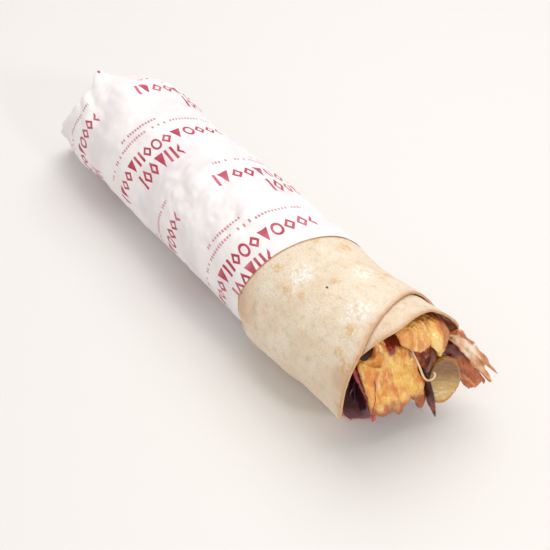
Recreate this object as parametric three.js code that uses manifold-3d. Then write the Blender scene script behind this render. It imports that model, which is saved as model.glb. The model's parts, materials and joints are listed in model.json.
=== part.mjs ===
// A chicken doner wrap lying on its side: a flatbread rolled round its filling, sleeved in thin
// paper that is folded shut at the back, with slices and strips hanging out of the open mouth.
// Millimetres. +X runs along the roll to the mouth, +Y to its right and +Z up. The origin is on
// the ground, in the flat strip that the roll rests on, under the roll's axis.
import * as THREE from "three";
import Module from "manifold-3d";

const AXIS_HEIGHT = 30.7; // the roll's axis above the ground
const ROUND_STEPS = 45; // facets in one turn of the roll
const FACET_ANGLE = 360 / ROUND_STEPS;
const PAPER_WALL = 0.8;
const PAPER_LAP = 0.6; // how far the paper's own overlap stands out
const PAPER_LAP_ANGLE = 132;
const BREAD_THICKNESS = 1.3;
const BREAD_PITCH = 1.9; // from one turn of the bread to the next
const BREAD_GAP = 0.5; // between paper and bread
const BREAD_OUTER_END = 112; // angle of the outer flap's free edge, low on the right
const BREAD_TURN_STEPS = 66; // facets from the inner end of the bread to the outer
const BREAD_TUCK_ARC = 48; // how much of a turn the bread takes to slip under its own flap
const SWELL_LENGTH = 10; // how soon the bread swells once it leaves the paper
const INNER_FLARE = { from: 108, to: 121, angle: 66, height: 1.9 }; // the inner turn opens at the mouth

// Angles are in degrees from the top of the roll, positive towards its right side.
// The radius of the roll along its length, and how far it is pushed to the upper right.
const PAPER_RADIUS = [
  [-150, 31.4], [-111, 32.1], [-96, 32.5], [-56, 31.4], [-7, 32.2], [40, 31.9], [60, 32.4],
];
const PAPER_PUSH = [[-150, 0], [-111, -0.3], [-90, 1], [-56, 0.1], [-7, 1], [60, 0.6]];
const BREAD_RADIUS = [[52, 33.1], [75, 32.2], [92, 31.8], [110, 32.2], [126, 32.8]];
const BREAD_PUSH = [[52, -1.1], [75, -0.7], [92, 1], [110, 2.2], [126, 2.6]];
const PUSH_ANGLE = 57;
// The paper's slanted front edge, and the slanted fold that shuts its back, with one small ear.
const FRONT_EDGE = { middle: 52.3, slant: 8, turned: 28 };
const BACK_FOLD = [
  [-180, -152], [-125, -149], [-101, -136], [-77, -126], [-53, -120.5], [-29, -119.5], [-17, -124],
  [-5, -118], [7, -113], [31, -112], [55, -114], [90, -125], [125, -141], [180, -152],
];
// Where the mouth's edge lies: the outer turn of the bread, and the inner turn inside it.
const OUTER_LIP = [
  [-180, 109], [-165, 107], [-135, 111], [-111, 120], [-84, 121.8], [-43, 121.3], [-27, 118],
  [-14, 115], [12, 110], [36, 106], [52, 107], [90, 117], [112, 119], [150, 117], [180, 109],
];
const INNER_LIP = [
  [-60, 116.5], [-45, 118.6], [-33, 120.4], [-20, 122.1], [-8, 123.5], [4, 123.2], [20, 121.3],
  [34, 120.3], [45, 123.7], [60, 124.7], [90, 120.8], [112, 117],
];

const radians = THREE.MathUtils.degToRad;

function valueAt(table, position) {
  const next = table.findIndex(([station]) => station >= position);
  if (next === 0) return table[0][1];
  if (next < 0) return table.at(-1)[1];
  const [from, low] = table[next - 1];
  const [to, high] = table[next];
  return low + ((high - low) * (position - from)) / (to - from);
}

function smoothValueAt(table, position) {
  const next = Math.max(1, table.findIndex(([station]) => station >= position));
  if (position >= table.at(-1)[0]) return table.at(-1)[1];
  const [from, low] = table[next - 1];
  const [to, high] = table[next];
  return low + (high - low) * THREE.MathUtils.smoothstep(position, from, to);
}

// A repeatable source of numbers from 0 to 1.
function seededRandom(seed) {
  let state = seed;
  return () => {
    state = (state * 16807) % 2147483647;
    return state / 2147483647;
  };
}

// A point on the roll: no lower than floor, which flattens the underside.
function onRoll(x, angle, radius, floor = 0) {
  const turn = radians(angle);
  const z = AXIS_HEIGHT + radius * Math.cos(turn);
  return new THREE.Vector3(x, radius * Math.sin(turn), Math.max(floor, z));
}

// Triangles of a grid of points, rows by columns, shared by every builder below.
function gridFaces(rows, columns, first, wraps) {
  const faces = [];
  const wide = wraps ? columns : columns - 1;
  for (let row = 0; row < rows - 1; row++) {
    for (let column = 0; column < wide; column++) {
      const a = first + row * columns + column;
      const b = first + row * columns + ((column + 1) % columns);
      faces.push(a, b, b + columns, a, b + columns, a + columns);
    }
  }
  return faces;
}

function closedGeometry(points, faces) {
  const flat = points.flatMap((p) => [p.x, p.y, p.z]);
  let volume = 0;
  for (let i = 0; i < faces.length; i += 3) {
    const [a, b, c] = faces.slice(i, i + 3).map((k) => points[k]);
    volume += a.dot(new THREE.Vector3().crossVectors(b, c));
  }
  if (volume < 0) faces.reverse();
  const geometry = new THREE.BufferGeometry();
  geometry.setAttribute("position", new THREE.Float32BufferAttribute(flat, 3));
  geometry.setIndex(faces);
  return geometry;
}

// A skin of rings, each a closed loop of the same count, shut by a point at either end.
function ringSkin(firstPole, rings, lastPole) {
  const columns = rings[0].length;
  const points = [firstPole, ...rings.flat(), lastPole];
  const faces = gridFaces(rings.length, columns, 1, true);
  const last = points.length - 1;
  const lastRing = last - columns;
  for (let column = 0; column < columns; column++) {
    const next = (column + 1) % columns;
    faces.push(0, 1 + next, 1 + column);
    faces.push(last, lastRing + column, lastRing + next);
  }
  return closedGeometry(points, faces);
}

// A sheet with two faces over the same grid, split into triangles alike, and walls at its edges.
function sheet(rows, columns, faceAt) {
  const points = [];
  for (const side of [0, 1]) {
    for (let row = 0; row < rows; row++) {
      for (let column = 0; column < columns; column++) {
        points.push(faceAt(row / (rows - 1), column / (columns - 1))[side]);
      }
    }
  }
  const below = rows * columns;
  const top = gridFaces(rows, columns, 0, false);
  const bottom = top.map((k) => k + below).reverse();
  const rim = [];
  for (let column = 0; column < columns; column++) rim.push(column);
  for (let row = 1; row < rows; row++) rim.push(row * columns + columns - 1);
  for (let column = columns - 2; column >= 0; column--) rim.push((rows - 1) * columns + column);
  for (let row = rows - 2; row > 0; row--) rim.push(row * columns);
  const walls = rim.flatMap((a, i) => {
    const b = rim[(i + 1) % rim.length];
    return [b, a, a + below, b, a + below, b + below];
  });
  return closedGeometry(points, [...top, ...bottom, ...walls]);
}

function piece(name, geometry, color, roughness) {
  const mesh = new THREE.Mesh(geometry, new THREE.MeshStandardMaterial({ color, roughness, metalness: 0 }));
  mesh.name = name;
  return mesh;
}

// ---- The paper sleeve ----

function frontEdge(angle) {
  return FRONT_EDGE.middle + FRONT_EDGE.slant * Math.sin(radians(angle + FRONT_EDGE.turned));
}

// How far the paper's overlap lifts it: slowly up to the free edge, then a step down.
function lapLift(angle) {
  const past = (angle - PAPER_LAP_ANGLE + 720) % 360;
  return PAPER_LAP * Math.max(0, (past - 270) / 90);
}

function paperRadius(x, angle) {
  const push = smoothValueAt(PAPER_PUSH, x) * Math.cos(radians(angle - PUSH_ANGLE));
  return smoothValueAt(PAPER_RADIUS, x) + push;
}

const TUBE_ROWS = 11;
const FOLD_CENTRE = new THREE.Vector3(-134, -1, 21); // where the folds of the shut end meet
const FOLD_RINGS = [0.93, 0.72, 0.45, 0.2];
const FOLD_PLEATS = 5;
const PLEAT_DEPTH = 1.6;

function paperTube(wall) {
  const rings = [];
  for (let row = 0; row <= TUBE_ROWS; row++) {
    const along = row / TUBE_ROWS;
    const ring = [];
    for (let step = 0; step < ROUND_STEPS; step++) {
      const angle = step * FACET_ANGLE - 180;
      const x = THREE.MathUtils.lerp(valueAt(BACK_FOLD, angle) + 2 * wall, frontEdge(angle), along);
      const shoulder = 1.6 * Math.max(0, 1 - along * 7) ** 2;
      const radius = paperRadius(x, angle) - shoulder + (wall ? -wall : lapLift(angle));
      ring.push(onRoll(x, angle, radius, wall));
    }
    rings.push(ring);
  }
  return rings;
}

// The shut end: pleats that run from the fold to one point.
function paperEnd(rim, wall) {
  const centre = FOLD_CENTRE.clone().add(new THREE.Vector3(2 * wall, 0, 0));
  const rings = FOLD_RINGS.map((share) =>
    rim.map((edge, step) => {
      const swirl = (FOLD_PLEATS * step) / ROUND_STEPS + 0.35 * share;
      const pleat = PLEAT_DEPTH * (swirl - Math.floor(swirl)) * share * (1 - share) * 4;
      const point = centre.clone().lerp(edge, share);
      point.x -= pleat;
      return point;
    }),
  );
  return { centre, rings };
}

function paperSleeve() {
  const outside = paperTube(0);
  const inside = paperTube(PAPER_WALL);
  const outsideEnd = paperEnd(outside[0], 0);
  const insideEnd = paperEnd(inside[0], PAPER_WALL);
  const rings = [
    ...outsideEnd.rings.toReversed(), ...outside, ...inside.toReversed(), ...insideEnd.rings,
  ];
  return ringSkin(outsideEnd.centre, rings, insideEnd.centre);
}

// ---- The rolled flatbread ----

const BREAD_BACK_CLEARANCE = 13; // from the paper's fold to the end of the bread
const BREAD_SLEEVED_RADIUS = 29.8; // clear of the paper at its tightest
const EASING_LENGTH = 24; // over which the bread widens again before it leaves the paper
const BREAD_ROWS = { sleeved: 2, easing: 3, swelling: 3, bare: 5 };
const BREAD_ROW_COUNT = Object.values(BREAD_ROWS).reduce((sum, rows) => sum + rows);

function wrapAngle(angle) {
  return ((((angle + 180) % 360) + 360) % 360) - 180;
}

// How far a turn of the bread lies inside the outermost one.
function turnDepth(unrolled) {
  const innerTurn = BREAD_OUTER_END - 360;
  const share = 1 - THREE.MathUtils.smoothstep(unrolled, innerTurn, innerTurn + BREAD_TUCK_ARC);
  return BREAD_PITCH * share;
}

// The inner turn bends outwards at the mouth, on the side where the outer one stops short of it.
function innerFlare(x, unrolled) {
  if (unrolled > BREAD_OUTER_END - 360) return 0;
  const lobe = Math.max(0, Math.cos(radians(unrolled - INNER_FLARE.angle)));
  return INNER_FLARE.height * lobe * THREE.MathUtils.smoothstep(x, INNER_FLARE.from, INNER_FLARE.to);
}

function breadLip(unrolled) {
  const angle = wrapAngle(unrolled);
  return valueAt(unrolled < BREAD_OUTER_END - 360 ? INNER_LIP : OUTER_LIP, angle);
}

function breadRadius(x, angle) {
  const edge = frontEdge(angle);
  const fitted = paperRadius(x, angle) - PAPER_WALL - BREAD_GAP;
  const eased = THREE.MathUtils.smoothstep(x, edge - EASING_LENGTH, edge);
  const sleeved = THREE.MathUtils.lerp(BREAD_SLEEVED_RADIUS, fitted, eased);
  const push = smoothValueAt(BREAD_PUSH, x) * Math.cos(radians(angle - PUSH_ANGLE));
  const bare = smoothValueAt(BREAD_RADIUS, x) + push;
  return THREE.MathUtils.lerp(sleeved, bare, THREE.MathUtils.smoothstep(x, edge, edge + SWELL_LENGTH));
}

function breadFloor(x, angle) {
  const edge = frontEdge(angle);
  const bare = THREE.MathUtils.smoothstep(x, edge, edge + SWELL_LENGTH);
  return (PAPER_WALL + BREAD_GAP) * (1 - bare);
}

// Rows gather where the bread leaves the paper, so that every turn swells on the same line.
function breadStation(along, unrolled) {
  const angle = wrapAngle(unrolled);
  const edge = frontEdge(angle);
  const knots = [
    valueAt(BACK_FOLD, angle) + BREAD_BACK_CLEARANCE, edge - EASING_LENGTH, edge, edge + SWELL_LENGTH,
    breadLip(unrolled),
  ];
  let row = along * BREAD_ROW_COUNT;
  for (const [span, rows] of Object.values(BREAD_ROWS).entries()) {
    if (row <= rows + 1e-9) return THREE.MathUtils.lerp(knots[span], knots[span + 1], row / rows);
    row -= rows;
  }
  return knots.at(-1);
}

function flatbread() {
  return sheet(BREAD_ROW_COUNT + 1, BREAD_TURN_STEPS + 1, (along, round) => {
    const unrolled = BREAD_OUTER_END - (1 - round) * BREAD_TURN_STEPS * FACET_ANGLE;
    const angle = wrapAngle(unrolled);
    const x = breadStation(along, unrolled);
    const depth = turnDepth(unrolled) - innerFlare(x, unrolled);
    const radius = breadRadius(x, angle) - depth;
    const floor = breadFloor(x, angle) + depth;
    return [
      onRoll(x, angle, radius, floor),
      onRoll(x, angle, radius - BREAD_THICKNESS, floor + BREAD_THICKNESS),
    ];
  });
}

// ---- Slices, strips and leaves at the mouth ----

// A strip between two rails, left and right, from its tail in the roll to its hanging end.
// ends says, from the left edge to the right, how far each fibre reaches: dips are notches.
function strip({ left, right, ends, thickness, arch, wave = 0, rows, columns, seed }) {
  const rails = [left, right].map(
    (rail) => new THREE.CatmullRomCurve3(rail.map((p) => new THREE.Vector3(...p)), false, "centripetal"),
  );
  const random = seededRandom(seed);
  const phases = [random() * 6, random() * 6, random() * 6];
  const middle = (along, across) => {
    const at = Math.min(1, along) * valueAt(ends, across);
    return rails[0].getPoint(at).lerp(rails[1].getPoint(at), across);
  };
  const step = 0.02;
  return sheet(rows, columns, (along, across) => {
    const point = middle(along, across);
    const forward = middle(Math.min(1, along + step), across).sub(middle(Math.max(0, along - step), across));
    const sideways = middle(along, Math.min(1, across + step)).sub(middle(along, Math.max(0, across - step)));
    const normal = forward.cross(sideways).normalize();
    const edge = 1 - (2 * across - 1) ** 4;
    const end = Math.min(1, 6 * along + 0.3, 5 * (1 - along) + 0.45);
    const lumps = 1 + 0.16 * Math.sin(9 * across + phases[0]) + 0.14 * Math.sin(11 * along + phases[1]);
    const half = 0.5 * thickness * (0.4 + 0.6 * Math.sqrt(Math.max(0, edge))) * end * lumps;
    const bow = arch * (1 - (2 * across - 1) ** 2);
    const ripple = wave * Math.sin(7 * along + 5 * across + phases[2]);
    point.addScaledVector(normal, bow + ripple);
    return [
      point.clone().addScaledVector(normal, half),
      point.clone().addScaledVector(normal, -half),
    ];
  });
}

const EVEN_END = [[0, 1], [1, 1]];
const CHICKEN_COLOR = 0xd98f3e;

const STRIPS = {
  chicken_slice_front: {
    left: [
      [98, -14, 47.5], [108, -11.5, 50], [115.5, -9.3, 51.3], [117.3, -11.4, 44.2], [115.8, -17.3, 45.4],
      [118.9, -17.2, 37.7], [121.2, -15.4, 27.5], [123.2, -14.3, 15.8],
    ],
    right: [
      [98, 4, 41.5], [108, 6.5, 41], [117, 9.5, 38.5], [119, 10.5, 34.5], [121.3, 11.4, 30.5],
      [125, 13, 21.5], [127.5, 12.5, 11], [128.5, 12, 5],
    ],
    ends: [
      [0, 0.97], [0.13, 0.97], [0.27, 0.98], [0.38, 0.93], [0.5, 0.99], [0.6, 0.89], [0.7, 0.77], [0.8, 0.85],
      [0.93, 0.91], [1, 0.82],
    ],
    thickness: 4.4, arch: 1.4, rows: 15, columns: 15, seed: 11, color: CHICKEN_COLOR,
  },
  chicken_slice_upper: {
    left: [[98, 3, 54], [110, 0, 56.5], [118, -2, 57.8], [121.5, -2, 57.6], [125, -1, 51], [126.5, 0.5, 44]],
    right: [
      [98, 20, 45.5], [110, 21.5, 48], [118, 23.6, 49], [122.5, 25, 48.5], [128, 25, 38.5], [130.5, 24.6, 31],
    ],
    ends: [
      [0, 0.74], [0.15, 0.8], [0.3, 0.82], [0.43, 0.79], [0.53, 0.73], [0.62, 0.82], [0.71, 0.89],
      [0.8, 0.8], [0.9, 0.74], [1, 0.7],
    ],
    thickness: 4, arch: 1.2, rows: 10, columns: 14, seed: 23, color: CHICKEN_COLOR,
  },
  chicken_slice_side: {
    left: [
      [118.8, 24.6, 28.6], [121, 25.5, 29.6], [123.5, 27, 29], [126.5, 28.2, 24.6], [130, 30.4, 18],
      [134, 32.8, 12],
    ],
    right: [
      [118, 27.8, 33.4], [120.5, 29.2, 34.4], [123.8, 31.5, 35], [127.5, 35, 29.8], [131.5, 37.4, 23.6],
      [136.5, 40.4, 15.5],
    ],
    ends: [[0, 0.96], [0.4, 1], [0.7, 0.97], [1, 1]],
    thickness: 3.2, arch: 0.4, rows: 11, columns: 6, seed: 31, color: 0xa85a2a,
  },
  chicken_strip_crisp: {
    left: [
      [113, 24.4, 38.2], [117, 25.5, 39.7], [121.5, 26.5, 42], [125.5, 28, 44.6], [129, 32, 42],
      [134, 36.3, 34.2], [143.5, 41.3, 25.6],
    ],
    right: [
      [113, 26, 35.2], [117, 27, 36.2], [121.5, 28, 38.3], [125, 28.6, 39.7], [130, 32.5, 31.5],
      [135, 35.2, 25.5], [142, 38.2, 20.2],
    ],
    ends: [[0, 0.97], [0.2, 1], [0.45, 0.86], [0.7, 0.95], [1, 0.99]],
    thickness: 2.2, arch: 0.8, wave: 0.5, rows: 13, columns: 8, seed: 47, color: 0xe3b48f,
  },
  pepper_strip: {
    left: [
      [106, -15, 40], [112.8, -18.6, 41], [115.7, -18.6, 36.5], [117.1, -15.5, 27.5], [119.4, -13.3, 18.6],
      [122.5, -12.8, 11],
    ],
    right: [
      [106, -12.5, 37], [113, -13.8, 37.5], [115.5, -13.6, 33], [117.6, -12.3, 25],
      [119.8, -10.8, 17.3], [122.8, -11, 12.5],
    ],
    ends: EVEN_END,
    thickness: 2, arch: 0.5, rows: 12, columns: 5, seed: 59, color: 0xb01c1c,
  },
  cabbage_strip: {
    left: [
      [118.5, 12.8, 27], [120.4, 13.5, 25.5], [122, 13.9, 22.8], [123.6, 14, 19], [125.3, 14.2, 14.8],
      [127.2, 14.9, 10], [129, 15.7, 6.5], [130.8, 16.7, 2.8],
    ],
    right: [
      [123, 13.5, 30], [126.2, 13.8, 28], [128.9, 13.9, 24.2], [130.6, 14.2, 20], [131.4, 14.9, 16],
      [131.7, 15.5, 12.2], [131.8, 16.2, 8], [131.6, 17, 2.8],
    ],
    ends: EVEN_END,
    thickness: 1, arch: 0.2, wave: 0.1, rows: 14, columns: 5, seed: 71, color: 0x3b1526,
  },
};

// ---- The dark leaf that lines the left and the bottom of the mouth ----

const LEAF = {
  from: -58, to: -207, tail: 84, thickness: 1.1, clearance: 0.5, wave: 0.5, color: 0x3b1f33,
  lip: [[-207, 119], [-180, 117], [-150, 116.5], [-125, 117.5], [-105, 118.5], [-85, 117], [-58, 113]],
};

function cabbageLeaf() {
  return sheet(9, 20, (along, across) => {
    const angle = THREE.MathUtils.lerp(LEAF.from, LEAF.to, across);
    const x = THREE.MathUtils.lerp(LEAF.tail, valueAt(LEAF.lip, angle) + 0.8 * Math.sin(across * 31), along);
    const tuck = turnDepth(angle);
    const wave = LEAF.wave * (1 + Math.sin(14 * across + 5 * along));
    const inside = breadRadius(x, wrapAngle(angle)) - tuck - BREAD_THICKNESS - LEAF.clearance - wave;
    const floor = tuck + BREAD_THICKNESS + LEAF.clearance + wave;
    return [
      onRoll(x, angle, inside, floor),
      onRoll(x, angle, inside - LEAF.thickness, floor + LEAF.thickness),
    ];
  });
}

// ---- The pickle slice ----

const PICKLE = {
  length: 24, width: 15.4, thickness: 4.4,
  centre: new THREE.Vector3(128.7, 21.9, 21.6),
  facing: new THREE.Vector3(0.788, -0.517, 0.333), // square to its cut face
  upwards: new THREE.Vector3(-0.25, 0.22, 0.94), // along its longer way
  taper: 0.22, // how much narrower its lower end is
  lean: -1.2, // how far that end is shifted sideways
};

// A round slice with a soft rim, made oval and set in its place by its two directions.
function pickleSlice() {
  const rim = PICKLE.thickness / 2;
  const profile = [
    [0, -0.8 * rim], [0.6, -0.85 * rim], [0.88, -0.8 * rim], [1, 0], [0.9, 0.85 * rim], [0.72, 0.75 * rim],
    [0.4, 0.62 * rim], [0, 0.66 * rim],
  ].map(([radius, height]) => new THREE.Vector2(radius, height));
  const lathe = new THREE.LatheGeometry(profile, 26);
  lathe.scale(PICKLE.width / 2, 1, PICKLE.length / 2);
  const position = lathe.attributes.position;
  for (let i = 0; i < position.count; i++) {
    const low = Math.max(0, -position.getZ(i)) / (PICKLE.length / 2);
    position.setX(i, position.getX(i) * (1 - PICKLE.taper * low) - PICKLE.lean * low);
  }
  const mesh = piece("pickle_slice", lathe, 0xa9a25c, 0.3);
  const facing = PICKLE.facing.clone().normalize();
  const sideways = facing.clone().cross(PICKLE.upwards).normalize();
  const upwards = sideways.clone().cross(facing);
  mesh.quaternion.setFromRotationMatrix(new THREE.Matrix4().makeBasis(sideways, facing, upwards));
  mesh.position.copy(PICKLE.centre);
  return mesh;
}

// ---- The filling that runs through the roll ----

const CORE_STEPS = 26;
// Along the roll: where the filling's middle lies, and its radius.
const CORE_STATIONS = [
  [-116, 0, 30.7, 14], [-110, 0, 30.7, 22], [-70, 0.5, 30.5, 24], [-20, -0.5, 31, 24.3],
  [30, 0.5, 30.5, 24.2], [62, 0, 30.7, 24.4], [80, 0, 29.5, 22.5], [91, 3, 26, 18.5], [99, 7, 23, 15.4],
  [106, 12, 22, 13.6], [112, 16.5, 23.5, 12], [116, 18.5, 23, 10.2], [119, 19, 22, 7],
];
const CORE_LUMP = 0.9;
const CORE_END_BULGE = 2;
// Shreds that stand out of the filling where the mouth shows them, and which way each is wide.
const SHREDS = [
  { path: [[98, -6, 22], [108, -13, 25], [115, -19.5, 26.5]], wide: [0.1, 0.4, 0.9], width: 4.5 },
  { path: [[98, -5, 16], [108, -12, 17.5], [115.5, -17.5, 18.5]], wide: [0.2, -0.4, 0.8], width: 4 },
  { path: [[98, -2, 13], [108, -8, 11], [116, -12.5, 10.5]], wide: [0.3, 0.7, 0.6], width: 3.5 },
  { path: [[98, 3, 13], [108, 3, 10], [116.5, 3.5, 9]], wide: [0, 1, 0.2], width: 5 },
  { path: [[104, 12, 27], [111, 13.5, 32.5], [116.5, 13.2, 36]], wide: [0.2, 1, 0.3], width: 2.6 },
];
const SHRED_THICKNESS = 1.3;

function shred({ path, wide, width }, seed) {
  const half = new THREE.Vector3(...wide).setLength(width / 2);
  const rail = (side) => path.map((p) => new THREE.Vector3(...p).addScaledVector(half, side).toArray());
  return strip({
    left: rail(-1), right: rail(1), ends: [[0, 0.9], [0.5, 1], [1, 0.93]],
    thickness: SHRED_THICKNESS, arch: 0.4, wave: 0.3, rows: 7, columns: 4, seed,
  });
}

function coreSkin() {
  const random = seededRandom(5);
  const rings = CORE_STATIONS.map(([x, y, z, radius]) => {
    const phase = random() * 6;
    const ring = [];
    for (let step = 0; step < CORE_STEPS; step++) {
      const turn = (2 * Math.PI * step) / CORE_STEPS;
      const lump = CORE_LUMP * (Math.sin(3 * turn + phase) + 0.7 * Math.sin(5 * turn - 2 * phase) - 1);
      const reach = radius + lump;
      ring.push(new THREE.Vector3(x + 0.6 * lump, y + reach * Math.sin(turn), z + reach * Math.cos(turn)));
    }
    return ring;
  });
  const pole = ([x, y, z], bulge) => new THREE.Vector3(x + bulge, y, z);
  return ringSkin(pole(CORE_STATIONS[0], -CORE_END_BULGE), rings, pole(CORE_STATIONS.at(-1), CORE_END_BULGE));
}

// The core and its shreds, joined into one solid.
function fillingCore(solids) {
  const solidOf = (geometry) => new solids.Manifold(new solids.Mesh({
    numProp: 3,
    vertProperties: geometry.attributes.position.array,
    triVerts: new Uint32Array(geometry.index.array),
  }));
  const parts = [coreSkin(), ...SHREDS.map((shape, i) => shred(shape, 80 + i))];
  const joined = solids.Manifold.union(parts.map(solidOf)).getMesh();
  const geometry = new THREE.BufferGeometry();
  geometry.setAttribute("position", new THREE.BufferAttribute(joined.vertProperties, 3));
  geometry.setIndex(new THREE.BufferAttribute(joined.triVerts, 1));
  return geometry;
}

const solids = await Module();
solids.setup();

const wrap = new THREE.Group();
wrap.add(piece("paper_sleeve", paperSleeve(), 0xf3eeec, 0.7));
wrap.add(piece("tortilla", flatbread(), 0xe9d6b4, 0.85));
wrap.add(piece("filling_core", fillingCore(solids), 0x6e3528, 0.6));
for (const [name, shape] of Object.entries(STRIPS)) {
  wrap.add(piece(name, strip(shape), shape.color, 0.45));
}
wrap.add(piece("cabbage_leaf", cabbageLeaf(), LEAF.color, 0.5));
wrap.add(pickleSlice());

export default wrap;
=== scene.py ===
"""A chicken doner wrap in a printed paper sleeve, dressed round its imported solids.

Metres. +X runs along the roll to its open mouth and +Z is up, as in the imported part. Angles round the
roll are in degrees from its top, positive towards +Y."""

import json
import math

import bpy
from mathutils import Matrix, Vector, noise

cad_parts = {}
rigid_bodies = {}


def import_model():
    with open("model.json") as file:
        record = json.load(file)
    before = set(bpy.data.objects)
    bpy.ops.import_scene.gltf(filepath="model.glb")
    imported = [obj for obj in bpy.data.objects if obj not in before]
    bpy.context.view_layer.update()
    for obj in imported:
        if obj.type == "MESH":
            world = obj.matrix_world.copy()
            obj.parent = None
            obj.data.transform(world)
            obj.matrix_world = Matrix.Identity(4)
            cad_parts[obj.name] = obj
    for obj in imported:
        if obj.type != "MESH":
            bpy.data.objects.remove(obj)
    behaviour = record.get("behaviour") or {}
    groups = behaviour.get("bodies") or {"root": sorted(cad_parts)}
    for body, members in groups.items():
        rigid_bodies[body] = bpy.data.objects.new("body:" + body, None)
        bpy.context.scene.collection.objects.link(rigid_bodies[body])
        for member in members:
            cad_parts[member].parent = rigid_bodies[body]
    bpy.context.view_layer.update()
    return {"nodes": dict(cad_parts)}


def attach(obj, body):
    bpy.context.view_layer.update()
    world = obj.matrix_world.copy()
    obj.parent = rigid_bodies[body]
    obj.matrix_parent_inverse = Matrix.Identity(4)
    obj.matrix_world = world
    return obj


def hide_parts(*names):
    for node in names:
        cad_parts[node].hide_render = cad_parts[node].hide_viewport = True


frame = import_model()

# ---- The filling ----
# Chopped meat and red cabbage, packed through the whole roll and dark with juice.
# One lumpy mass: only its front end and a few shreds show in the mouth.

MM = 0.001


def copy_of_solid(node, name):
    """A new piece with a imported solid's own shape, its loose triangles joined into quads."""
    bpy.ops.object.select_all(action="DESELECT")
    piece = bpy.data.objects.new(name, frame["nodes"][node].data.copy())
    bpy.context.scene.collection.objects.link(piece)
    piece.data.materials.clear()
    bpy.context.view_layer.objects.active = piece
    piece.select_set(True)
    bpy.ops.mesh.customdata_custom_splitnormals_clear()
    bpy.ops.object.mode_set(mode="EDIT")
    bpy.ops.mesh.select_all(action="SELECT")
    bpy.ops.mesh.remove_doubles(threshold=0.01 * MM)
    bpy.ops.mesh.tris_convert_to_quads(face_threshold=math.pi, shape_threshold=math.pi)
    bpy.ops.object.mode_set(mode="OBJECT")
    return piece


def finish_with(piece, kind, **settings):
    """Adds one modifier and applies it."""
    modifier = piece.modifiers.new(kind, kind)
    for name, value in settings.items():
        setattr(modifier, name, value)
    bpy.ops.object.modifier_apply(modifier=modifier.name)


def smooth_over(piece, levels, keep_corners=False):
    """Rounds a piece between its points. Splitting its faces flat first keeps thin tips and notches."""
    if keep_corners:
        finish_with(piece, "SUBSURF", levels=1, render_levels=1, subdivision_type="SIMPLE")
    finish_with(piece, "SUBSURF", levels=levels, render_levels=levels)
    bpy.ops.object.shade_smooth()


def sculpt(piece, push):
    """Moves each point by the vector that push gives for its place and normal."""
    moves = [push(v.co.copy(), v.normal.copy()) for v in piece.data.vertices]
    for vertex, move in zip(piece.data.vertices, moves):
        vertex.co += move
    piece.data.update()


def bumps(place, size, octaves=2):
    """Noise from about -1 to 1 whose lumps are size across."""
    return noise.fractal(place / size, 1.0, 2.0, octaves)


class Wire:
    """A socket in a material. Arithmetic on it adds Math nodes, and node() adds any other kind."""

    def __init__(self, tree, socket=None):
        self.tree = tree
        self.socket = socket

    def node(self, kind, settings=None, inputs=None, output=0):
        made = self.tree.nodes.new(kind)
        for name, value in (settings or {}).items():
            setattr(made, name, value)
        for name, value in (inputs or {}).items():
            if isinstance(value, Wire):
                self.tree.links.new(value.socket, made.inputs[name])
            else:
                made.inputs[name].default_value = value
        return Wire(self.tree, made.outputs[output])

    def maths(self, operation, first, second):
        return self.node("ShaderNodeMath", {"operation": operation}, {0: first, 1: second})

    def __add__(self, other):
        return self.maths("ADD", self, other)

    __radd__ = __add__

    def __sub__(self, other):
        return self.maths("SUBTRACT", self, other)

    def __rsub__(self, other):
        return self.maths("SUBTRACT", other, self)

    def __mul__(self, other):
        return self.maths("MULTIPLY", self, other)

    def __truediv__(self, other):
        return self.maths("DIVIDE", self, other)

    def __pow__(self, other):
        return self.maths("POWER", self, other)

    def __lt__(self, other):
        return self.maths("LESS_THAN", self, other)

    def __gt__(self, other):
        return self.maths("GREATER_THAN", self, other)

    def __or__(self, other):
        return self.maths("MAXIMUM", self, other)

    def __abs__(self):
        return self.maths("ABSOLUTE", self, 0)


def new_finish(name, **uniform):
    """A material, its shader, and the place on the piece. Uniform values go on the shader's own sockets."""
    material = bpy.data.materials.new(name)
    material.use_nodes = True
    shader = material.node_tree.nodes["Principled BSDF"]
    for socket, value in uniform.items():
        shader.inputs[socket.replace("_", " ").title()].default_value = value
    return material, shader, Wire(material.node_tree).node("ShaderNodeTexCoord", output="Object")


def feed(shader, **wires):
    """Joins wires to the shader's sockets."""
    for socket, wire in wires.items():
        wire.tree.links.new(wire.socket, shader.inputs[socket.replace("_", " ").title()])


def shade(red, green, blue):
    """A colour read off from 0 to 255, as the shader takes it."""
    channels = [c / 255 for c in (red, green, blue)]
    return (*[c / 12.92 if c <= 0.04045 else ((c + 0.055) / 1.055) ** 2.4 for c in channels], 1)


def part_of(vector, axis):
    """The X, Y or Z of a vector."""
    return vector.node("ShaderNodeSeparateXYZ", {}, {0: vector}, axis)


def mixed(mask, low, high):
    """One colour where the mask is 0 and another where it is 1."""
    return mask.node("ShaderNodeMix", {"data_type": "RGBA"}, {0: mask, 6: low, 7: high}, 2)


def step(value, low, high):
    """0 below low and 1 above high, softly between. With low above high it falls instead."""
    inputs = {"Value": value, "From Min": low, "From Max": high, "To Min": 0.0, "To Max": 1.0}
    return value.node("ShaderNodeMapRange", {"interpolation_type": "SMOOTHSTEP"}, inputs)


def grain(place, size, detail=2.0, roughness=0.5):
    """Noise from 0 to 1 whose lumps are size across."""
    inputs = {"Vector": place, "Scale": 1 / size, "Detail": detail, "Roughness": roughness}
    return place.node("ShaderNodeTexNoise", {}, inputs)


def relief(height, depth, strength=1.0):
    """A bump as deep as depth where height goes from 0 to 1."""
    return height.node("ShaderNodeBump", {}, {"Strength": strength, "Distance": depth, "Height": height})


def in_colour(piece, material):
    """Gives a piece its material and its slot, on the one body."""
    piece.data.materials.append(material)
    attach(piece, "root")


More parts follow.
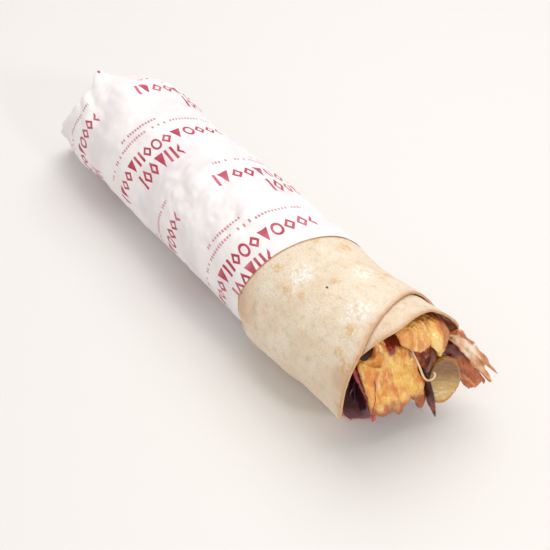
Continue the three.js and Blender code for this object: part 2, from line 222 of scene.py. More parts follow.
FILLING_DARK = shade(150, 66, 36)
FILLING_RED = shade(214, 116, 62)
FILLING_PURPLE = shade(96, 56, 72)

filling = copy_of_solid("filling_core", "filling")
smooth_over(filling, 1, keep_corners=True)
sculpt(filling, lambda p, n: n * 0.7 * MM * bumps(p, 4 * MM))

material, shader, place = new_finish("moist_filling", roughness=0.35, coat_weight=0.3, coat_roughness=0.2)
meaty = mixed(step(grain(place, 5 * MM, 4.0), 0.35, 0.7), FILLING_DARK, FILLING_RED)
from_left_to_right = step(part_of(place, "Y"), -6 * MM, 6 * MM)
feed(shader, base_color=mixed(from_left_to_right, FILLING_PURPLE, meaty))
feed(shader, normal=relief(grain(place, 1.5 * MM, 3.0), 0.4 * MM))
in_colour(filling, material)
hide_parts("filling_core")

# ---- The cabbage leaf ----
# A dark red cabbage leaf pressed against the bread along the left and the bottom of the mouth.
# Thin and moist, redder along its veins, and paler towards its lowest part and in random patches.

LEAF_DARK = shade(190, 138, 144)
LEAF_RED = shade(186, 100, 96)
LEAF_PALE = shade(196, 168, 170)
LEAF_LOOSE_FROM = 104 * MM  # where the filling stops holding it flat
LEAF_LOOSE_LENGTH = 14 * MM


def leaf_wave(p, n):
    """Small waves that grow towards the leaf's front edge."""
    loose = max(0.0, (p.x - LEAF_LOOSE_FROM) / LEAF_LOOSE_LENGTH)
    return n * 0.5 * MM * loose * noise.noise(p / (5 * MM))


leaf = copy_of_solid("cabbage_leaf", "cabbage_leaf_skin")
smooth_over(leaf, 2, keep_corners=True)
sculpt(leaf, leaf_wave)

material, shader, place = new_finish("cabbage", roughness=0.3, coat_weight=0.5, coat_roughness=0.12)
lengthwise = place.node("ShaderNodeMapping", {}, {0: place, "Scale": (0.25, 1.0, 1.0)})
veins = grain(lengthwise, 2.5 * MM, 3.0)
low_down = step(part_of(place, "Z"), 12 * MM, 3 * MM)
# Paler towards the bottom of the leaf, and in random patches.
bloom = low_down * 0.6 + step(grain(place, 7 * MM, 3.0), 0.55, 0.8) * 0.3
flesh = mixed(step(veins, 0.5, 0.75), LEAF_DARK, LEAF_RED)
feed(shader, base_color=mixed(bloom, flesh, LEAF_PALE))
feed(shader, normal=relief(veins, 0.5 * MM))
in_colour(leaf, material)
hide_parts("cabbage_leaf")

# ---- The flatbread ----
# A thin wheat flatbread rolled a turn and a half round the filling, soft and floury, with toasted
# blisters. It is one sheet: its outer turn stops short of the inner one at the mouth.

AXIS_HEIGHT = 30.7 * MM
# The paper's slanted front edge: how far forward it lies in the middle and how much farther it comes at
# most, in millimetres, and the angle by which the slant is turned.
EDGE_MIDDLE = 52.3
EDGE_SLANT = 8
EDGE_TURN = 28
LOBE_ANGLE = -76  # low on the left, where the bread bulges out of the paper

# Places on the bread in millimetres, and how wide each spot is.
BLISTERS = [
    ((59.4, -18.2, 57.7), 2.2),
    ((71.4, -21.4, 55.3), 2.0),
    ((79.2, -19.6, 56.7), 1.6),
    ((84.5, -6.0, 61.5), 1.8),
    ((109.4, -16.8, 58.6), 3.2),
    ((67.6, 13.2, 61.0), 2.6),
    ((58.2, 2.9, 63.2), 1.8),
    ((47.0, -32.0, 31.0), 2.4),
    ((54.0, -32.5, 27.0), 2.0),
    ((116.6, -26.1, 49.7), 3.2),
    ((110.8, -24.4, 51.9), 2.2),
    ((92.0, 17.0, 57.0), 2.2),
]
SCORCHES = [((85.2, -10.4, 61.8), 0.9), ((47.9, -30.9, 40.5), 0.8), ((98.0, 12.0, 60.0), 0.6)]
DUSTED = [((71, -14, 60), 9), ((104, -9, 61), 11), ((88, 8, 62), 8)]
# Painted shade: two soft patches low on the left of the bread, by its lobe and by the mouth.
DARKER = [((51.5, -31.7, 37), 13), ((116, -29, 44), 8)]

BREAD_CREAM = shade(245, 230, 210)
BREAD_TAN = shade(236, 213, 184)
BREAD_DEEP = shade(216, 184, 148)
BREAD_FLOUR = shade(253, 249, 240)
BREAD_TOAST = shade(222, 178, 104)
# The toasted edge's colour, also used for the painted shadow line along the paper's edge.
BREAD_EDGE = shade(200, 146, 88)
BREAD_CHAR = shade(66, 48, 38)
# The colour of the painted shade low on the left.
BREAD_LOBE = shade(212, 170, 134)
BREAD_STAIN = shade(176, 96, 56)


def around(p):
    """Angle round the roll."""
    return math.degrees(math.atan2(p.y, p.z - AXIS_HEIGHT))


def outwards(p):
    """The direction straight away from the roll's axis."""
    return Vector((0, p.y, p.z - AXIS_HEIGHT)).normalized()


def hill(value, centre, width):
    """1 at the centre and falling softly to 0."""
    return math.exp(-(((value - centre) / width) ** 2))


def cut_lengthwise(piece, cuts, from_x):
    """Cuts the edges that run along the roll, so that its rows come closer together."""
    bpy.ops.object.mode_set(mode="EDIT")
    bpy.ops.mesh.select_all(action="DESELECT")
    bpy.ops.object.mode_set(mode="OBJECT")
    points = piece.data.vertices
    for edge in piece.data.edges:
        a, b = (points[i].co for i in edge.vertices)
        along = abs(a.x - b.x) > 0.7 * (a - b).length
        edge.select = along and min(a.x, b.x) > from_x
    bpy.ops.object.mode_set(mode="EDIT")
    bpy.ops.mesh.select_mode(type="EDGE")
    bpy.ops.mesh.subdivide(number_cuts=cuts)
    bpy.ops.object.mode_set(mode="OBJECT")


def mark_points(piece, name, belongs):
    """Stores 1 on each point that belongs and 0 on the others, for the material to read."""
    marks = piece.data.attributes.new(name, "FLOAT", "POINT").data
    for mark, vertex in zip(marks, piece.data.vertices):
        mark.value = belongs(vertex)


def marked(place, name):
    """What mark_points stored."""
    return place.node("ShaderNodeAttribute", {"attribute_name": name}, {}, "Fac")


def paper_edge(angle):
    """How far forward the paper reaches, in millimetres."""
    return EDGE_MIDDLE + EDGE_SLANT * math.sin(math.radians(angle + EDGE_TURN))


def bread_form(p, n):
    """Soft waves over the bare bread, a lobe where it leaves the paper, ridges by the mouth."""
    angle = around(p)
    x = p.x / MM
    past = x - paper_edge(angle)
    bare = max(0.0, min(1.0, (past - 4) / 12))
    snug = 0.45 * max(0.0, 1 - abs(past - 1) / 9)
    soft = 0.6 * bumps(p, 24 * MM) + 0.2 * bumps(p, 8 * MM)
    lobe = 1.1 * hill(past, 5, 6) * hill(angle, LOBE_ANGLE, 12)
    crease_at = 13 - 0.25 * (angle - LOBE_ANGLE)
    crease = -1.5 * hill(past, crease_at, 2.5) * hill(angle, LOBE_ANGLE - 2, 16)
    ridges = 0.6 * math.sin(x * 0.95 + angle * 0.05) * hill(angle, -92, 18) * hill(x, 112, 12)
    blister = sum(0.35 * hill((p - Vector(c) * MM).length, 0, w * MM) for c, w in BLISTERS)
    lift = bare * (soft + ridges + blister) + crease + lobe + snug
    off_the_ground = min(1.0, p.z / (6 * MM))
    return outwards(p) * lift * off_the_ground * MM


bread = copy_of_solid("tortilla", "flatbread")
front_points = set()
for polygon in bread.data.polygons:
    if polygon.center.x > 100 * MM and polygon.normal.x > 0.7:
        front_points.update(polygon.vertices)
mark_points(bread, "rim", lambda vertex: vertex.index in front_points)
cut_lengthwise(bread, 1, 42 * MM)
smooth_over(bread, 1, keep_corners=True)
sculpt(bread, bread_form)
mark_points(bread, "inner_face", lambda vertex: vertex.normal.dot(outwards(vertex.co)) < -0.3)


def any_of(masks):
    """The highest of several masks."""
    highest = masks[0]
    for mask in masks[1:]:
        highest = highest | mask
    return highest


def spots(place, centres, spread=1.0):
    """Soft round masks about the points of the bread nearest to places given in millimetres."""
    masks = []
    for centre, width in centres:
        centre = Vector(centre) * MM
        middle = min((vertex.co for vertex in bread.data.vertices), key=lambda co: (co - centre).length)
        inputs = {0: place, 1: middle}
        gap = place.node("ShaderNodeVectorMath", {"operation": "DISTANCE"}, inputs, "Value")
        masks.append(step(gap, spread * width * MM, 0.3 * spread * width * MM))
    return any_of(masks)


def round_the_roll(place):
    """The angle round the roll, in radians, and how far the paper's edge is slanted forward there."""
    inputs = {0: part_of(place, "Y"), 1: part_of(place, "Z") - AXIS_HEIGHT}
    turn = place.node("ShaderNodeMath", {"operation": "ARCTAN2"}, inputs)
    inputs = {0: turn + math.radians(EDGE_TURN)}
    return turn, place.node("ShaderNodeMath", {"operation": "SINE"}, inputs) * (EDGE_SLANT * MM)


material, shader, place = new_finish(
    "flatbread", roughness=0.75, subsurface_weight=0.12, subsurface_scale=3 * MM
)
clouds = grain(place, 14 * MM, 4.0, 0.55)
mottle = grain(place, 3.5 * MM, 4.0, 0.6)
specks = grain(place, 0.9 * MM, 3.0, 0.7)
crumbs = grain(place, 1.8 * MM, 3.0, 0.7)
flour = (spots(place, DUSTED) * 0.9 + step(clouds, 0.55, 0.75) * 0.2) * step(crumbs, 0.46, 0.58)
toasted = spots(place, BLISTERS, 1.6) * step(crumbs, 0.34, 0.6)
past_paper = part_of(place, "X") - round_the_roll(place)[1] - EDGE_MIDDLE * MM
surface = mixed(step(clouds, 0.3, 0.7), BREAD_CREAM, BREAD_TAN)
surface = mixed(step(mottle, 0.5, 0.75) * 0.5, surface, BREAD_DEEP)
# Painted shade on the low left side of the bread.
surface = mixed(spots(place, DARKER) * 0.6, surface, BREAD_LOBE)
surface = mixed(step(specks, 0.45, 0.7) * 0.4, surface, BREAD_DEEP)
surface = mixed(flour, surface, BREAD_FLOUR)
surface = mixed(toasted * 0.85, surface, BREAD_TOAST)
surface = mixed(marked(place, "rim") ** 6 * (0.4 + mottle * 0.6), surface, BREAD_EDGE)
surface = mixed(marked(place, "inner_face") * step(mottle, 0.3, 0.6), surface, BREAD_STAIN)
# Painted shadow: a thin brown line where the paper's edge shades the bread, with grease soaked in along it.
surface = mixed(step(past_paper, 1.6 * MM, 0.4 * MM) * 0.8, surface, BREAD_EDGE)
feed(shader, base_color=mixed(spots(place, SCORCHES), surface, BREAD_CHAR))
feed(shader, normal=relief(specks * 0.5 + crumbs * 0.5, 0.8 * MM))
in_colour(bread, material)
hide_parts("tortilla")

# ---- The paper sleeve ----
# One sheet of thin white wrapping paper, rolled tight round the bread and folded shut at the back.
# Its red print stands in half-drop rows: two lines of small marks and two rows of larger shapes.

PAPER_THICKNESS = 0.25 * MM
PAPER_WHITE = shade(249, 244, 243)
PAPER_COOL = shade(236, 229, 231)
INK_RED = shade(184, 58, 80)
INK_PALE = shade(214, 122, 140)
# The slanted fold at the back: where it lies in the middle and how much farther forward it comes at most,
# in millimetres, the angle at which it does so, and the ear at its top.
FOLD_MIDDLE = -131
FOLD_SLANT = 19
FOLD_TWIST = 15
EAR_ANGLE = -15
EAR_AT = -124
EAR_MOVE = Vector((-2.0, 0, 3.0))
# Where the paper was gripped: place along the roll and reach, then angle and reach.
GRIPS = [(-12, 24, -40, 28), (26, 12, -24, 18)]

ROW_DROP = 90.5 * MM  # along the roll, from one row of a column to its next
COLUMN_PITCH = 101.2 * MM  # round the roll, twice in one turn
ROW_START = 39.5 * MM
COLUMN_START = -21.5 * MM
COLUMN_DRIFT = 0.09  # how far the columns wander round the roll for each length along it
DRIFT_START = -18.5 * MM
SMALL_PITCH = 1.6 * MM
# In millimetres, from the middle of one repeat: place along the roll and round it, and half the line's
# length. Rows of shapes also have their height and the pitch of their shapes. The last number is a seed.
SMALL_LINES = [(-17.3, 0, 11, 3), (-12.3, 3, 36, 5)]
SHAPE_ROWS = [(0, 0, 38.4, 8.6, 5.9, 7), (12.5, -3, 14.2, 11, 5.7, 11)]


def outer_skin(piece):
    """Cuts a closed shell along its front rim and keeps its outer wall alone."""
    faces = piece.data.polygons
    bpy.ops.object.mode_set(mode="EDIT")
    bpy.ops.mesh.select_all(action="DESELECT")
    bpy.ops.mesh.select_mode(type="FACE")
    bpy.ops.object.mode_set(mode="OBJECT")
    for face in faces:
        face.select = face.normal.x > 0.5 and face.center.x > 0
    bpy.ops.object.mode_set(mode="EDIT")
    bpy.ops.mesh.delete(type="FACE")
    bpy.ops.object.mode_set(mode="OBJECT")
    max(faces, key=lambda face: face.center.z).select = True
    bpy.ops.object.mode_set(mode="EDIT")
    bpy.ops.mesh.select_linked()
    bpy.ops.mesh.select_all(action="INVERT")
    bpy.ops.mesh.delete(type="FACE")
    bpy.ops.object.mode_set(mode="OBJECT")


def crease(place, size):
    """Sharp valleys along the lines where the noise crosses zero, from 0 in them to about 1."""
    return abs(noise.noise(place / size))


def paper_form(p, n):
    """Broad dents, sharp creases where the paper was gripped, puckers by the fold and the ear's tip."""
    angle = around(p)
    x = p.x / MM
    from_fold = x - FOLD_MIDDLE - FOLD_SLANT * math.cos(math.radians(angle - FOLD_TWIST))
    along = Vector((p.x * 0.6, p.y, p.z))
    soft = 0.6 * bumps(along, 30 * MM) + 0.2 * bumps(along, 10 * MM)
    gripped = max(hill(x, at, long) * hill(angle, turn, wide) for at, long, turn, wide in GRIPS)
    folds = crease(p, 13 * MM) - crease(p + Vector((0.1, 0.2, 0.3)), 10 * MM) + 0.6 * crease(p, 5 * MM)
    crisp = (0.3 + gripped) * 2.0 * folds
    pleats = 3.2 * crease(Vector((p.x * 0.35, p.y, p.z)), 8 * MM) - 1.0
    puckers = hill(from_fold, 4, 24) * pleats
    to_edge = paper_edge(angle) - x
    front = min(1.0, max(0.0, to_edge / 14) + 0.2)
    snug = -0.5 * max(0.0, 1 - to_edge / 8)
    off_the_ground = min(1.0, p.z / (7 * MM))
    ear = hill(angle, EAR_ANGLE, 9) * hill(x, EAR_AT, 5)
    move = outwards(p) * ((soft + crisp) * front + puckers * (1 - ear) + snug) * off_the_ground
    return (move + EAR_MOVE * ear) * MM


paper = copy_of_solid("paper_sleeve", "paper")
outer_skin(paper)
cut_lengthwise(paper, 3, -200 * MM)
smooth_over(paper, 1, keep_corners=True)
sculpt(paper, paper_form)
mark_points(paper, "folded", lambda vertex: vertex.normal.x < -0.5)
finish_with(paper, "SOLIDIFY", thickness=PAPER_THICKNESS, offset=-1)


def wrapped(value, pitch):
    """The distance from the nearest repeat, from minus to plus half a pitch."""
    return value.node("ShaderNodeMath", {"operation": "WRAP"}, {0: value, 1: pitch / 2, 2: -pitch / 2})


def chance(cell, seed):
    """A number from 0 to 1 that is the same all over a cell."""
    inputs = {"Vector": cell.node("ShaderNodeCombineXYZ", {}, {0: cell, 1: seed})}
    return cell.node("ShaderNodeTexWhiteNoise", {"noise_dimensions": "2D"}, inputs)


def inside(value, half):
    """1 where the value is within half of 0, with a fine soft border."""
    return step(abs(value), half + 0.15 * MM, half - 0.15 * MM)


def cells(u, pitch):
    """The number of the cell along a row, and the place within it."""
    number = u.node("ShaderNodeMath", {"operation": "FLOOR"}, {0: u / pitch})
    return number, u - (number + 0.5) * pitch


def shape_row(u, v, reach, height, pitch, seed):
    """A row of hollow diamonds, triangles, rings and pairs of bars, picked by chance."""
    number, du = cells(u, pitch)
    pick = chance(number, seed)
    wide = 0.45 * pitch
    tall = height / 2
    flat = abs(du) / wide
    diamond = inside((flat + abs(v) / tall - 0.72) * tall, 0.28 * tall)
    triangle = (flat * 2 + v / tall < 1) * inside(v, tall)
    ring = inside(((flat ** 2 + (abs(v) / tall) ** 2) ** 0.5 - 0.8) * tall, 0.2 * tall)
    bars = inside(abs(du) - 0.62 * wide, 0.28 * wide) * inside(v, tall)
    marks = diamond * (pick < 0.28) | triangle * (pick > 0.28) * (pick < 0.45)
    marks = marks | ring * (pick > 0.45) * (pick < 0.72) | bars * (pick > 0.72)
    return marks * inside(u, reach)


def small_line(u, v, reach, seed):
    """A faint line of small upright marks with gaps by chance."""
    number, du = cells(u, SMALL_PITCH)
    mark = inside(du, 0.5 * MM) * inside(v, 0.85 * MM)
    return mark * (chance(number, seed) > 0.2) * inside(u, reach) * 0.75


material, shader, place = new_finish("printed_paper", roughness=0.5)
turn, slant = round_the_roll(place)
down = part_of(place, "X") - slant
drift = (down - DRIFT_START) * COLUMN_DRIFT
across = turn * (2 * COLUMN_PITCH / math.tau) - COLUMN_START + drift
printed = []
for half in (0, 1):
    v = wrapped(down - ROW_START - half * ROW_DROP / 2, ROW_DROP)
    u = wrapped(across - half * COLUMN_PITCH / 2, COLUMN_PITCH)
    for at, shift, reach, seed in SMALL_LINES:
        printed.append(small_line(u - shift * MM, v - at * MM, reach * MM, seed))
    for at, shift, *size, seed in SHAPE_ROWS:
        printed.append(shape_row(u - shift * MM, v - at * MM, *[s * MM for s in size], seed))
ink = any_of(printed) * (1 - marked(place, "folded"))
white = mixed(step(grain(place, 20 * MM, 2.0), 0.35, 0.7), PAPER_WHITE, PAPER_COOL)
red = mixed(step(grain(place, 12 * MM, 3.0), 0.4, 0.75), INK_RED, INK_PALE)
feed(shader, base_color=mixed(ink, white, red))
feed(shader, normal=relief(grain(place, 1.2 * MM, 3.0, 0.7), 0.06 * MM, 0.6))
in_colour(paper, material)
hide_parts("paper_sleeve")

# ---- The chicken slices ----
# Flat slices shaved off a roast, orange with spice and oil, pale where the meat was torn.
# Their fibres run from the tail in the roll to the hanging end, and the ends are frayed.

# The deep, middle, pale and browned tone of each kind of meat. The pale tone goes on ridges along the
# fibres, partly as the meat's own pale fibres and partly as painted highlight.
MEAT_BURNT = shade(206, 96, 26)
ROAST = (shade(226, 132, 30), shade(250, 194, 84), shade(255, 226, 148), MEAT_BURNT)
TORN = (shade(224, 136, 50), shade(242, 184, 90), shade(254, 226, 146), MEAT_BURNT)
DARK = (shade(160, 66, 22), shade(196, 100, 34), shade(232, 158, 72), shade(128, 44, 18))
# The crisp strip's tones: its whitish pale tone is painted gloss highlight on the ridges.
GLOSSY = (shade(226, 162, 108), shade(244, 208, 166), shade(255, 240, 218), shade(184, 94, 32))
MEAT_BROWN = shade(170, 82, 20)
MEAT_TORN = shade(250, 214, 132)
MEAT_SHADED = shade(116, 36, 18)
# The sauce's colour, also laid as painted shade under the bread's lip.
SAUCE_RED = shade(150, 32, 20)


def lay_fibres(piece, spine, side):
    """Gives each point its place along and across the slice, and how near its edge it is."""
    spine = [Vector(p) * MM for p in spine]
    side = Vector(side).normalized()
    places = []
    for vertex in piece.data.vertices:
        nearest = None
        passed = 0.0
        for a, b in zip(spine, spine[1:]):
            span = b - a
            share = max(0.0, min(1.0, (vertex.co - a).dot(span) / span.length_squared))
            gap = vertex.co - (a + span * share)
            if nearest is None or gap.length < nearest[0]:
                nearest = (gap.length, passed + share * span.length, gap.dot(side))
            passed += span.length
        places.append(nearest[1:])
    total = max(along for along, _ in places)
    bands = [int(24 * along / total) for along, _ in places]
    widest = dict.fromkeys(bands, 1e-6)
    for band, (_, over) in zip(bands, places):
        widest[band] = max(widest[band], abs(over))
    fibre = piece.data.attributes.new("fibre", "FLOAT_VECTOR", "POINT")
    for stored, band, (along, over) in zip(fibre.data, bands, places):
        stored.vector = (along, over, abs(over) / widest[band])
    return [stored.vector.copy() for stored in fibre.data]


def fray(piece, fibre, depth, strand):
    """Raises lumps and strands along the fibres, and draws the strands out unevenly at the end."""
    total = max(f.x for f in fibre)
    places = iter(fibre)

    def push(p, n):
        along, over, _ = next(places)
        lane = Vector((along / (7 * strand), over / strand, 3.7))
        strands = 0.7 - 2 * abs(noise.noise(lane)) + 0.3 * noise.noise(lane * 2.3)
        lumps = noise.noise(p / (5 * MM)) + 0.5 * noise.noise(p / (2.2 * MM))
        end = max(0.0, (along / total - 0.8) / 0.2)
        reach = 1.3 * MM * end * noise.noise(Vector((over / (0.9 * MM), 8.1, 0)))
        return n * depth * (strands + 1.5 * lumps) + Vector((0, 0, reach))

    sculpt(piece, push)


def slice_of_meat(node, name, spine, side, depth, strand):
    """A slice whose spine runs along its fibres, in millimetres, and whose side points across them."""
    piece = copy_of_solid(node, name)
    smooth_over(piece, 2, keep_corners=True)
    fray(piece, lay_fibres(piece, spine, side), depth, strand)
    return piece


def meat_finish(name, colours, stains=(), strand=1.6 * MM, browning=0.35):
    """Oily meat: two mingled tones, pale ridges along the fibres that are partly painted highlight, browned
    patches and edges.
    """
    deep, middle, pale, burnt = colours
    material, shader, place = new_finish(
        name, coat_weight=0.8, coat_roughness=0.06, subsurface_weight=0.2, subsurface_scale=2 * MM
    )
    fibre = place.node("ShaderNodeAttribute", {"attribute_name": "fibre"}, {}, "Vector")
    along, over, edge = (part_of(fibre, axis) for axis in "XYZ")
    lane = place.node("ShaderNodeCombineXYZ", {}, {0: along / 3.5, 1: over, 2: 0.0})
    strands = grain(lane, 1.4 * strand, 3.0)
    patches = grain(place, 7 * MM, 3.0)
    browned = step(grain(lane, 2.2 * strand, 3.0), 0.5, 0.72)
    rim = step(edge + (patches - 0.5) * 0.8, 0.86 - 0.2 * browning, 1.04)
    tone = mixed(step(patches, 0.34, 0.6), deep, middle)
    # Pale along the fibre ridges: partly the meat's own pale fibres, partly painted highlight.
    tone = mixed(step(strands, 0.5, 0.7) * 0.8, tone, pale)
    tone = mixed(rim * browning | browned * 0.6, tone, burnt)
    # Stains and painted shade, each laid unevenly over the tone.
    for colour, cover in stains:
        uneven = step(grain(place, 4 * MM, 3.0) * 0.5 + cover(place) * 0.55, 0.5, 0.8)
        tone = mixed(uneven, tone, colour)
    feed(shader, base_color=tone, roughness=0.2 + patches * 0.25)
    lumps = grain(place, 2.4 * MM, 2.0)
    feed(shader, normal=relief(strands * 0.2 + lumps * 0.8, 2.2 * MM))
    return material


def height_at(place, low, high):
    """0 below one height and 1 above another, both in millimetres, or the other way round."""
    return step(part_of(place, "Z"), low * MM, high * MM)


def right_at(place, left, right):
    """0 to the left of one place across the roll and 1 to the right of another, in millimetres."""
    return step(part_of(place, "Y"), left * MM, right * MM)


def sauce_at_top(place):
    """Sauce darkened with painted shade where the front slice comes out from under the bread, and sauce
    down its right side.
    """
    # Painted shade under the bread's lip, over the sauce there.
    under_lip = height_at(place, 41, 48) * right_at(place, -8, -3.5)
    return under_lip | height_at(place, 35, 40) * right_at(place, 4, 7.5)


def thin_line(place):
    """A thin trickle of sauce near the front slice's left edge, leaning a little."""
    beside = abs(part_of(place, "Y") + 13.3 * MM + (28.8 * MM - part_of(place, "Z")) * 0.08)
    return step(beside, 0.34 * MM, 0.06 * MM) * height_at(place, 17, 20) * height_at(place, 38, 36) * 1.5


def browned_low(place):
    """The lower half of the front slice is a deeper brown."""
    return height_at(place, 34, 14)


def browned_high(place):
    """Painted shade darkens the upper slice's top, where it bends out from under the bread, and it is
    browner down its right side.
    """
    return height_at(place, 47, 54) * 0.5 | right_at(place, 17, 20) * 0.85


def pale_prong(place):
    """The prong at the upper slice's lower right is torn, pale and smooth."""
    beside = abs(part_of(place, "Y") - 15.2 * MM)
    return step(beside, 4.4 * MM, 1.2 * MM) * height_at(place, 57, 50) * 0.9


def shaded_top(place):
    """Painted shade: the side slice is darkest where it goes in under the bread."""
    return height_at(place, 20, 33)


front = slice_of_meat(
    "chicken_slice_front",
    "front_slice",
    spine=[(98, -5, 44.5), (112, -3, 46), (117, -2, 43), (119, -3, 36), (124, -1, 20), (127, 0, 8)],
    side=(0.08, 0.93, -0.36),
    depth=0.55 * MM,
    strand=2.6 * MM,
)
stains = [(MEAT_BROWN, browned_low), (SAUCE_RED, sauce_at_top), (SAUCE_RED, thin_line)]
in_colour(front, meat_finish("roast_chicken", ROAST, stains))
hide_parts("chicken_slice_front")

upper = slice_of_meat(
    "chicken_slice_upper",
    "upper_slice",
    spine=[(98, 12, 50), (110, 11, 53), (118, 11, 54.5), (122, 11.5, 54), (126.5, 13, 45), (129, 14, 38)],
    side=(0.0, 0.94, -0.35),
    depth=0.45 * MM,
    strand=1.8 * MM,
)
stains = [(MEAT_BROWN, browned_high), (MEAT_TORN, pale_prong)]
in_colour(upper, meat_finish("torn_chicken", TORN, stains))
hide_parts("chicken_slice_upper")

side = slice_of_meat(
    "chicken_slice_side",
    "side_slice",
    spine=[(118, 26.5, 31), (123, 29, 32), (127, 31.5, 27), (131, 34, 20.5), (136, 37, 13)],
    side=(0.1, 0.6, 0.8),
    depth=0.3 * MM,
    strand=1.0 * MM,
)
in_colour(side, meat_finish("dark_chicken", DARK, [(MEAT_SHADED, shaded_top)]))
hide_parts("chicken_slice_side")

crisp = slice_of_meat(
    "chicken_strip_crisp",
    "crisp_strip",
    spine=[
        (113, 25, 37),
        (121.5, 27.3, 40),
        (125.5, 28.3, 42),
        (130, 32.3, 36.8),
        (134.5, 35.8, 29.8),
        (143, 40, 23),
    ],
    side=(0.1, 0.05, -1.0),
    depth=0.8 * MM,
    strand=1.8 * MM,
)
in_colour(crisp, meat_finish("crisp_chicken", GLOSSY, strand=3 * MM, browning=1.2))
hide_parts("chicken_strip_crisp")

# ---- The pepper strip ----
# A thin strip of red pepper in sauce, laid down the left edge of the front slice.
# Wet and bright, and a lighter orange-red at its hanging tip.

PEPPER_DARK = shade(150, 14, 20)
PEPPER_RED = shade(200, 34, 26)
PEPPER_TIP = shade(226, 62, 34)

pepper = copy_of_solid("pepper_strip", "pepper")
smooth_over(pepper, 2, keep_corners=True)
sculpt(pepper, lambda p, n: n * 0.3 * MM * bumps(p, 2.5 * MM))

material, shader, place = new_finish("red_pepper", roughness=0.22, coat_weight=0.8, coat_roughness=0.08)
flesh = mixed(step(grain(place, 3 * MM, 2.0), 0.4, 0.7), PEPPER_DARK, PEPPER_RED)
feed(shader, base_color=mixed(height_at(place, 16, 11), flesh, PEPPER_TIP))
feed(shader, normal=relief(grain(place, 1.2 * MM, 2.0), 0.3 * MM))
in_colour(pepper, material)
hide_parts("pepper_strip")

# ---- The cabbage strip ----
# A strip of the same red cabbage that hangs out between the front slice and the pickle.
# It is curled lengthwise, nearly black, and redder half way down.

STRIP_DARK = shade(70, 38, 42)
STRIP_RED = shade(146, 54, 42)
STRIP_REDDEST = 10 * MM  # height above the ground

strip = copy_of_solid("cabbage_strip", "hanging_cabbage")
smooth_over(strip, 2, keep_corners=True)
sculpt(strip, lambda p, n: n * 0.25 * MM * bumps(p, 3 * MM))

material, shader, place = new_finish("dark_cabbage", roughness=0.3, coat_weight=0.4, coat_roughness=0.15)
half_way = step(abs(part_of(place, "Z") - STRIP_REDDEST), 7 * MM, 3 * MM)
reddened = step(grain(place, 2.5 * MM, 3.0), 0.36, 0.56) * half_way
feed(shader, base_color=mixed(reddened, STRIP_DARK, STRIP_RED))
in_colour(strip, material)
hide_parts("cabbage_strip")

# ---- The pickle slice ----
# A round slice of pickled cucumber, wet and half clear, with its skin as a yellow-green rim.
# Its lower face is ridged where the seeds were.

PICKLE_CENTRE = Vector((128.7, 21.9, 21.6)) * MM
PICKLE_FACING = Vector((0.788, -0.517, 0.333)).normalized()
PICKLE_UP = Vector((-0.25, 0.22, 0.94)).normalized()
PICKLE_ACROSS = PICKLE_FACING.cross(PICKLE_UP).normalized()
PICKLE_HALF_HEIGHT = 12 * MM
PICKLE_HALF_WIDTH = 7.7 * MM
PICKLE_TAPER = 0.22  # how much narrower it is at the bottom
PICKLE_SLIDE = 1.2 * MM  # how far the bottom lies to one side
PICKLE_WET = shade(214, 178, 104)
PICKLE_SHADED = shade(134, 86, 36)
# Painted gloss highlight, whitish, for the wet seed ridges.
PICKLE_CLEAR = shade(240, 226, 178)
PICKLE_SKIN = shade(190, 136, 44)


def pickle_form(p, n):
    """Low ridges across the lower half of the cut face, and a slightly wavy rim."""
    high = (p - PICKLE_CENTRE).dot(PICKLE_UP) / MM
    face = max(0.0, n.dot(PICKLE_FACING))
    ridges = 0.35 * math.sin(2.2 * high + 4 * noise.noise(p / (4 * MM))) * hill(high, -4.5, 3.5) * face
    hollow = 0.25 * face * hill(high, 5, 4)
    return n * (ridges + 0.3 * bumps(p, 4 * MM) - hollow) * MM


def from_pickle(place, direction):
    """How far a point lies from the pickle's middle, along a direction."""
    inputs = {0: place, 1: direction}
    reach = place.node("ShaderNodeVectorMath", {"operation": "DOT_PRODUCT"}, inputs, "Value")
    return reach - PICKLE_CENTRE.dot(direction)


pickle = copy_of_solid("pickle_slice", "pickle")
smooth_over(pickle, 1, keep_corners=True)
smooth_over(pickle, 1)
sculpt(pickle, pickle_form)

material, shader, place = new_finish(
    "pickle",
    roughness=0.16,
    coat_weight=0.9,
    coat_roughness=0.06,
    subsurface_weight=0.3,
    subsurface_scale=3 * MM,
)
high = from_pickle(place, PICKLE_UP)
wide = from_pickle(place, PICKLE_ACROSS)
low = step(high, 0.0, -PICKLE_HALF_HEIGHT)
beside = abs(wide - low * PICKLE_SLIDE) / (1 - low * PICKLE_TAPER)
out = ((high / PICKLE_HALF_HEIGHT) ** 2 + (beside / PICKLE_HALF_WIDTH) ** 2) ** 0.5
rows = grain(place.node("ShaderNodeCombineXYZ", {}, {0: wide / 3, 1: high}), 1.6 * MM, 2.0)
# Painted gloss highlight on the ridges, mostly on the lower half of the face.
clear = step(rows, 0.46, 0.62) * (0.06 + step(high, 1 * MM, -6 * MM) * 0.5)
low_rim = step(out, 0.72, 0.84) * step(high, 0.0, -4 * MM)
# Painted shade: the upper half of the cut face is darker, shaded by the slices above it.
flesh = mixed(step(high, -6 * MM, 6 * MM), PICKLE_WET, PICKLE_SHADED)
flesh = mixed(clear, flesh, PICKLE_CLEAR)
feed(shader, base_color=mixed(low_rim | step(out, 0.84, 0.98), flesh, PICKLE_SKIN))
feed(shader, normal=relief(rows, 1.2 * MM))
in_colour(pickle, material)
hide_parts("pickle_slice")

# ---- The sinew ----
# A pale thread of fat that runs down the front slice's right edge and curls off it over the pickle.
# A thin round strand, made from a path.

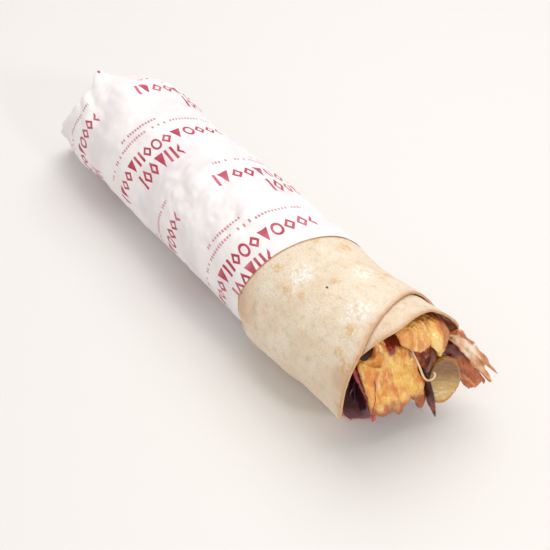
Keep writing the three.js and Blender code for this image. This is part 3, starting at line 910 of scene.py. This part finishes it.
SINEW_THICKNESS = 1.1 * MM
SINEW_TAPER = 0.35  # the thickness of its ends, as a share
SINEW_FAT = shade(238, 196, 140)
SINEW_PALE = shade(252, 230, 192)
SINEW_PATH = [
    (115.5, 8.6, 42.4), (118.6, 9.6, 39.2), (121.4, 10.6, 35.5), (123.5, 11.5, 31.2), (125.1, 12.1, 27.0),
    (127.0, 12.4, 25.6), (128.9, 13.1, 26.7), (130.1, 14.4, 28.8), (130.6, 14.2, 31.7), (130.4, 12.8, 33.8),
]

bpy.ops.object.select_all(action="DESELECT")
bpy.ops.curve.primitive_nurbs_path_add()
sinew = bpy.context.object
sinew.name = "sinew"
thread = sinew.data.splines[0]
thread.points.add(len(SINEW_PATH) - len(thread.points))
for point, spot in zip(thread.points, SINEW_PATH):
    point.co = (*(Vector(spot) * MM), 1)
thread.points[0].radius = thread.points[-1].radius = SINEW_TAPER
sinew.data.bevel_depth = SINEW_THICKNESS / 2
sinew.data.bevel_resolution = 3
sinew.data.resolution_u = 10
bpy.ops.object.convert(target="MESH")
bpy.ops.object.transform_apply(location=True, rotation=True, scale=True)
bpy.ops.object.shade_smooth()
sinew = bpy.context.object

material, shader, place = new_finish(
    "sinew", roughness=0.3, coat_weight=0.5, subsurface_weight=0.3, subsurface_scale=1 * MM
)
feed(shader, base_color=mixed(grain(place, 2 * MM), SINEW_FAT, SINEW_PALE))
in_colour(sinew, material)

# ---- The floor, the lights and the camera ----
# A plain pale floor under soft light from above and a little behind the wrap, with a weaker light
# towards its mouth, and the camera where the photograph was taken.

FLOOR_PALE = shade(231, 228, 225)
FLOOR_DROP = 0.2 * MM  # keeps the floor clear of the wrap's flat underside
NEUTRAL = (1.0, 0.99, 0.98)
WARM = (1.0, 0.985, 0.965)
SURROUNDINGS = (1.0, 0.985, 0.97, 1)
CAMERA_PLACE = (0.353266, -0.225884, 0.380852)
CAMERA_TURN = (47.7096, 0.2219, 54.7581)

bpy.ops.object.select_all(action="DESELECT")
bpy.ops.mesh.primitive_plane_add(size=8, location=(0, 0, -FLOOR_DROP))
floor = bpy.context.object
floor.name = "floor"
floor.data.materials.append(new_finish("pale_floor", base_color=FLOOR_PALE, roughness=0.6)[0])


def soft_light(name, place, size, power, colour):
    """A round lamp that faces the middle of the wrap."""
    bpy.ops.object.light_add(type="AREA", location=place)
    light = bpy.context.object
    light.name = name
    light.data.shape = "DISK"
    light.data.size = size
    light.data.energy = power
    light.data.color = colour
    light.rotation_euler = (-Vector(place)).to_track_quat("-Z", "Y").to_euler()


soft_light("key_light", place=(-0.2, 0.32, 1.0), size=1.1, power=7.0, colour=WARM)
soft_light("fill_light", place=(0.8, -0.7, 0.7), size=1.2, power=2.0, colour=NEUTRAL)
soft_light("small_light", place=(0.95, 0.05, 0.55), size=0.14, power=2.2, colour=NEUTRAL)
world = bpy.data.worlds.new("studio")
bpy.context.scene.world = world
world.use_nodes = True
world.node_tree.nodes["Background"].inputs["Color"].default_value = SURROUNDINGS
world.node_tree.nodes["Background"].inputs["Strength"].default_value = 0.6
bpy.context.scene.view_settings.view_transform = "Standard"

bpy.ops.object.camera_add(location=CAMERA_PLACE, rotation=[math.radians(a) for a in CAMERA_TURN])
camera = bpy.context.object
camera.data.lens = 72
camera.data.sensor_width = 36
camera.data.clip_start = 0.01
bpy.context.scene.camera = camera
